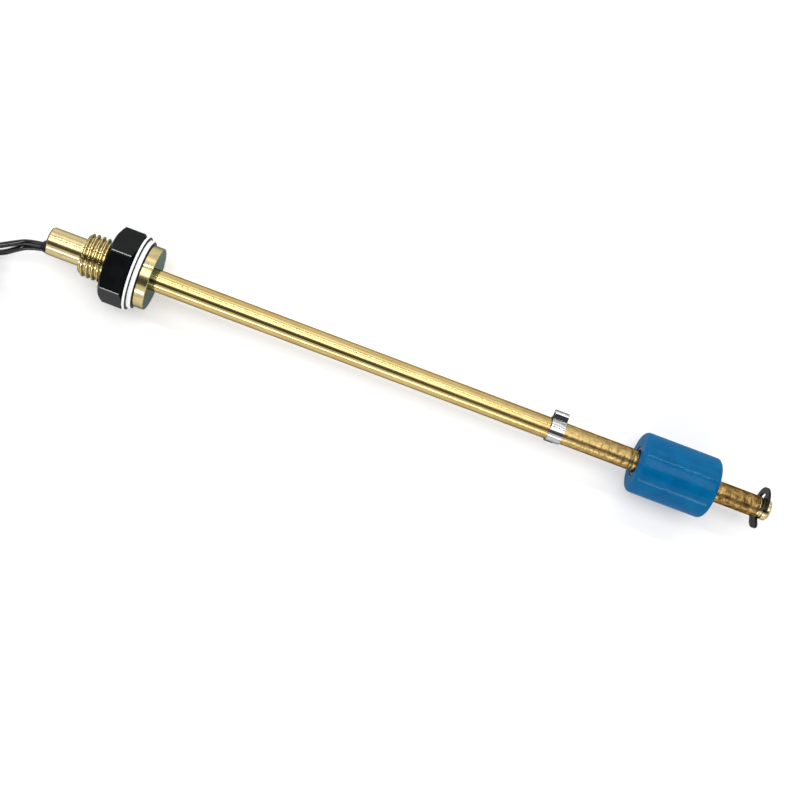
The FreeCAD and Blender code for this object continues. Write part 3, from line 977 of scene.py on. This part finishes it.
def tie():
    """A flat plastic band drawn round both coils."""
    half = COIL_WIDTH / 2 + 0.1 + TIE / 2
    low = FLOOR + TIE / 2
    high = FLOOR + 1.5 * TIE + 2 * COIL_HEIGHT
    loop = softened([(half, low, 0.9), (half, high, 0.9), (-half, high, 0.9), (-half, low, 0.9)])
    verts, faces = strip(loop, -TIE_WIDTH / 2, TIE_WIDTH, TIE, True)
    turn = Matrix.Rotation(math.radians(TIE_TURN), 3, "Z")
    placed = []
    for along, out, up in verts:
        placed.append(tuple(turn @ Vector((COIL_RADIUS + out, along, up)) + COIL_CENTRE))
    return piece("band", placed, faces, "tie_plastic", "stem", "coil_tie", bevel=0.12, crease=50.0)


tie()

# Materials of the CAD nodes that stay in view or inside

KEPT = {
    "retaining_clip": "black_steel",
    "float_magnet": "ferrite",
    "reed_glass": "switch_glass",
    "reed_blade_upper": "blade_alloy",
    "reed_blade_lower": "blade_alloy",
    "reed_sleeve": "sleeve_plastic",
    "return_wire": "tinned_copper",
    "splice_common": "tinned_copper",
    "splice_upper": "tinned_copper",
    "splice_lower": "tinned_copper",
    "lead_a_inner": "lead_pvc",
    "lead_b_inner": "lead_pvc",
}
for node, slot in KEPT.items():
    NODES[node].data.materials.clear()
    NODES[node].data.materials.append(MATERIALS[slot])

# Camera

CAMERA_PLACE = Vector((81.5, -9.36, 480.0))
CAMERA_LEAN = math.radians(2.3)
CAMERA_TURN = math.radians(20.6)
CAMERA_LENS = 60.3


def camera():
    """Looks straight down but for a small lean, with the stem falling to the picture's right."""
    forward = Vector((math.sin(CAMERA_LEAN), 0, -math.cos(CAMERA_LEAN)))
    level = Vector((math.cos(CAMERA_LEAN), 0, math.sin(CAMERA_LEAN)))
    across = Vector((0, 1, 0))
    right = level * math.cos(CAMERA_TURN) + across * math.sin(CAMERA_TURN)
    up = across * math.cos(CAMERA_TURN) - level * math.sin(CAMERA_TURN)
    data = bpy.data.cameras.new("camera")
    data.lens = CAMERA_LENS
    data.sensor_width = 36.0
    data.clip_start = 0.01
    made = bpy.data.objects.new("camera", data)
    axes = Matrix((right, up, -forward)).transposed().to_4x4()
    made.matrix_world = Matrix.Translation(CAMERA_PLACE * MM) @ axes
    bpy.context.scene.collection.objects.link(made)
    bpy.context.scene.camera = made


camera()

# Floor, world and lamps

FLOOR_REACH = 30.0
FLOOR_GLOW = 0.08
FAR_GLOW = 0.6
FLOOR_PAINT = 0.84
GLOW_RISE = (0.15, 1.2)


def floor():
    """A white surface, lit from itself where the lamps don't reach, for the camera and reflections."""
    verts = [(x, y, FLOOR * MM) for x, y in ((-1, -1), (1, -1), (1, 1), (-1, 1))]
    verts = [(x * FLOOR_REACH, y * FLOOR_REACH, z) for x, y, z in verts]
    mesh = bpy.data.meshes.new("floor")
    mesh.from_pydata(verts, [], [(0, 1, 2, 3)])
    made = bpy.data.objects.new("floor", mesh)
    bpy.context.scene.collection.objects.link(made)
    paper = bpy.data.materials.new("paper")
    paper.use_nodes = True
    nodes = paper.node_tree.nodes
    links = paper.node_tree.links
    nodes.clear()
    rays = nodes.new("ShaderNodeLightPath").outputs
    seen = worked_out(paper, "MAXIMUM", rays["Is Camera Ray"], rays["Is Glossy Ray"])
    through = worked_out(paper, "MAXIMUM", seen, rays["Is Transmission Ray"])
    place = nodes.new("ShaderNodeTexCoord")
    away = nodes.new("ShaderNodeVectorMath")
    away.operation = "LENGTH"
    links.new(place.outputs["Object"], away.inputs[0])
    rise = graded(paper, away.outputs["Value"], *GLOW_RISE, FLOOR_GLOW, FAR_GLOW, smooth=True)
    glow = nodes.new("ShaderNodeEmission")
    links.new(worked_out(paper, "MULTIPLY", through, rise), glow.inputs["Strength"])
    matt = nodes.new("ShaderNodeBsdfDiffuse")
    matt.inputs["Color"].default_value = (FLOOR_PAINT, FLOOR_PAINT, FLOOR_PAINT, 1)
    both = nodes.new("ShaderNodeAddShader")
    links.new(glow.outputs[0], both.inputs[0])
    links.new(matt.outputs[0], both.inputs[1])
    output = nodes.new("ShaderNodeOutputMaterial")
    links.new(both.outputs[0], output.inputs["Surface"])
    mesh.materials.append(paper)


floor()

# Light by direction round the stem, in degrees from straight up towards -Y, as (angle, level)
SKY = [
    (-180, 0.1),
    (-79, 0.4),
    (-70, 1.9),
    (-57, 1.9),
    (-43, 0.9),
    (-30, 0.35),
    (7, 0.35),
    (15, 0.09),
    (34, 0.09),
    (42, 1.1),
    (90, 1.1),
    (112, 0.35),
    (180, 0.1),
]
HORIZON = (math.sin(math.radians(17)), math.sin(math.radians(25)))


def sky():
    """The studio's soft panels, bright and dark bands along the stem, over a white horizon."""
    world = bpy.data.worlds.new("studio")
    bpy.context.scene.world = world
    world.use_nodes = True
    nodes = world.node_tree.nodes
    links = world.node_tree.links
    place = nodes.new("ShaderNodeTexCoord")
    split = nodes.new("ShaderNodeSeparateXYZ")
    links.new(place.outputs["Generated"], split.inputs["Vector"])
    side = worked_out(world, "MULTIPLY", split.outputs["Y"], -1.0)
    angle = worked_out(world, "ARCTAN2", side, split.outputs["Z"])
    share = graded(world, angle, -math.pi, math.pi)
    bands = ramp(world, share, [((degrees + 180) / 360, level) for degrees, level in SKY])
    height = graded(world, split.outputs["Z"], *HORIZON, smooth=True)
    blend = nodes.new("ShaderNodeMix")
    blend.data_type = "RGBA"
    blend.inputs["A"].default_value = (1, 1, 1, 1)
    links.new(height, blend.inputs["Factor"])
    links.new(bands, blend.inputs["B"])
    links.new(blend.outputs["Result"], nodes["Background"].inputs["Color"])


sky()

LAMP_DISTANCE = 0.9
LAMP_AIM = 0.1

# Each lamp's angle towards -Y and lean towards -X in degrees, its size in metres and its power
LAMPS = {
    "key_lamp": (-11.0, 0.0, (1.2, 0.42), 4.6),
    "edge_lamp": (-35.6, 0.0, (0.8, 0.03), 1.4),
    "side_lamp": (64.0, 0.0, (0.8, 0.1), 2.2),
    "end_lamp": (0.0, 56.0, (0.03, 0.6), 1.5),
}


def lamp(name, angle, lean, size, power):
    """A soft lamp that faces the stem."""
    data = bpy.data.lights.new(name, "AREA")
    data.shape = "RECTANGLE"
    data.size, data.size_y = size
    data.energy = power
    made = bpy.data.objects.new(name, data)
    turn = Matrix.Rotation(math.radians(angle), 4, "X") @ Matrix.Rotation(-math.radians(lean), 4, "Y")
    middle = Matrix.Translation((LAMP_AIM, 0, 0))
    made.matrix_world = middle @ turn @ Matrix.Translation((0, 0, LAMP_DISTANCE))
    bpy.context.scene.collection.objects.link(made)


for lamp_name, setting in LAMPS.items():
    lamp(lamp_name, *setting)

bpy.context.scene.view_settings.view_transform = "Standard"
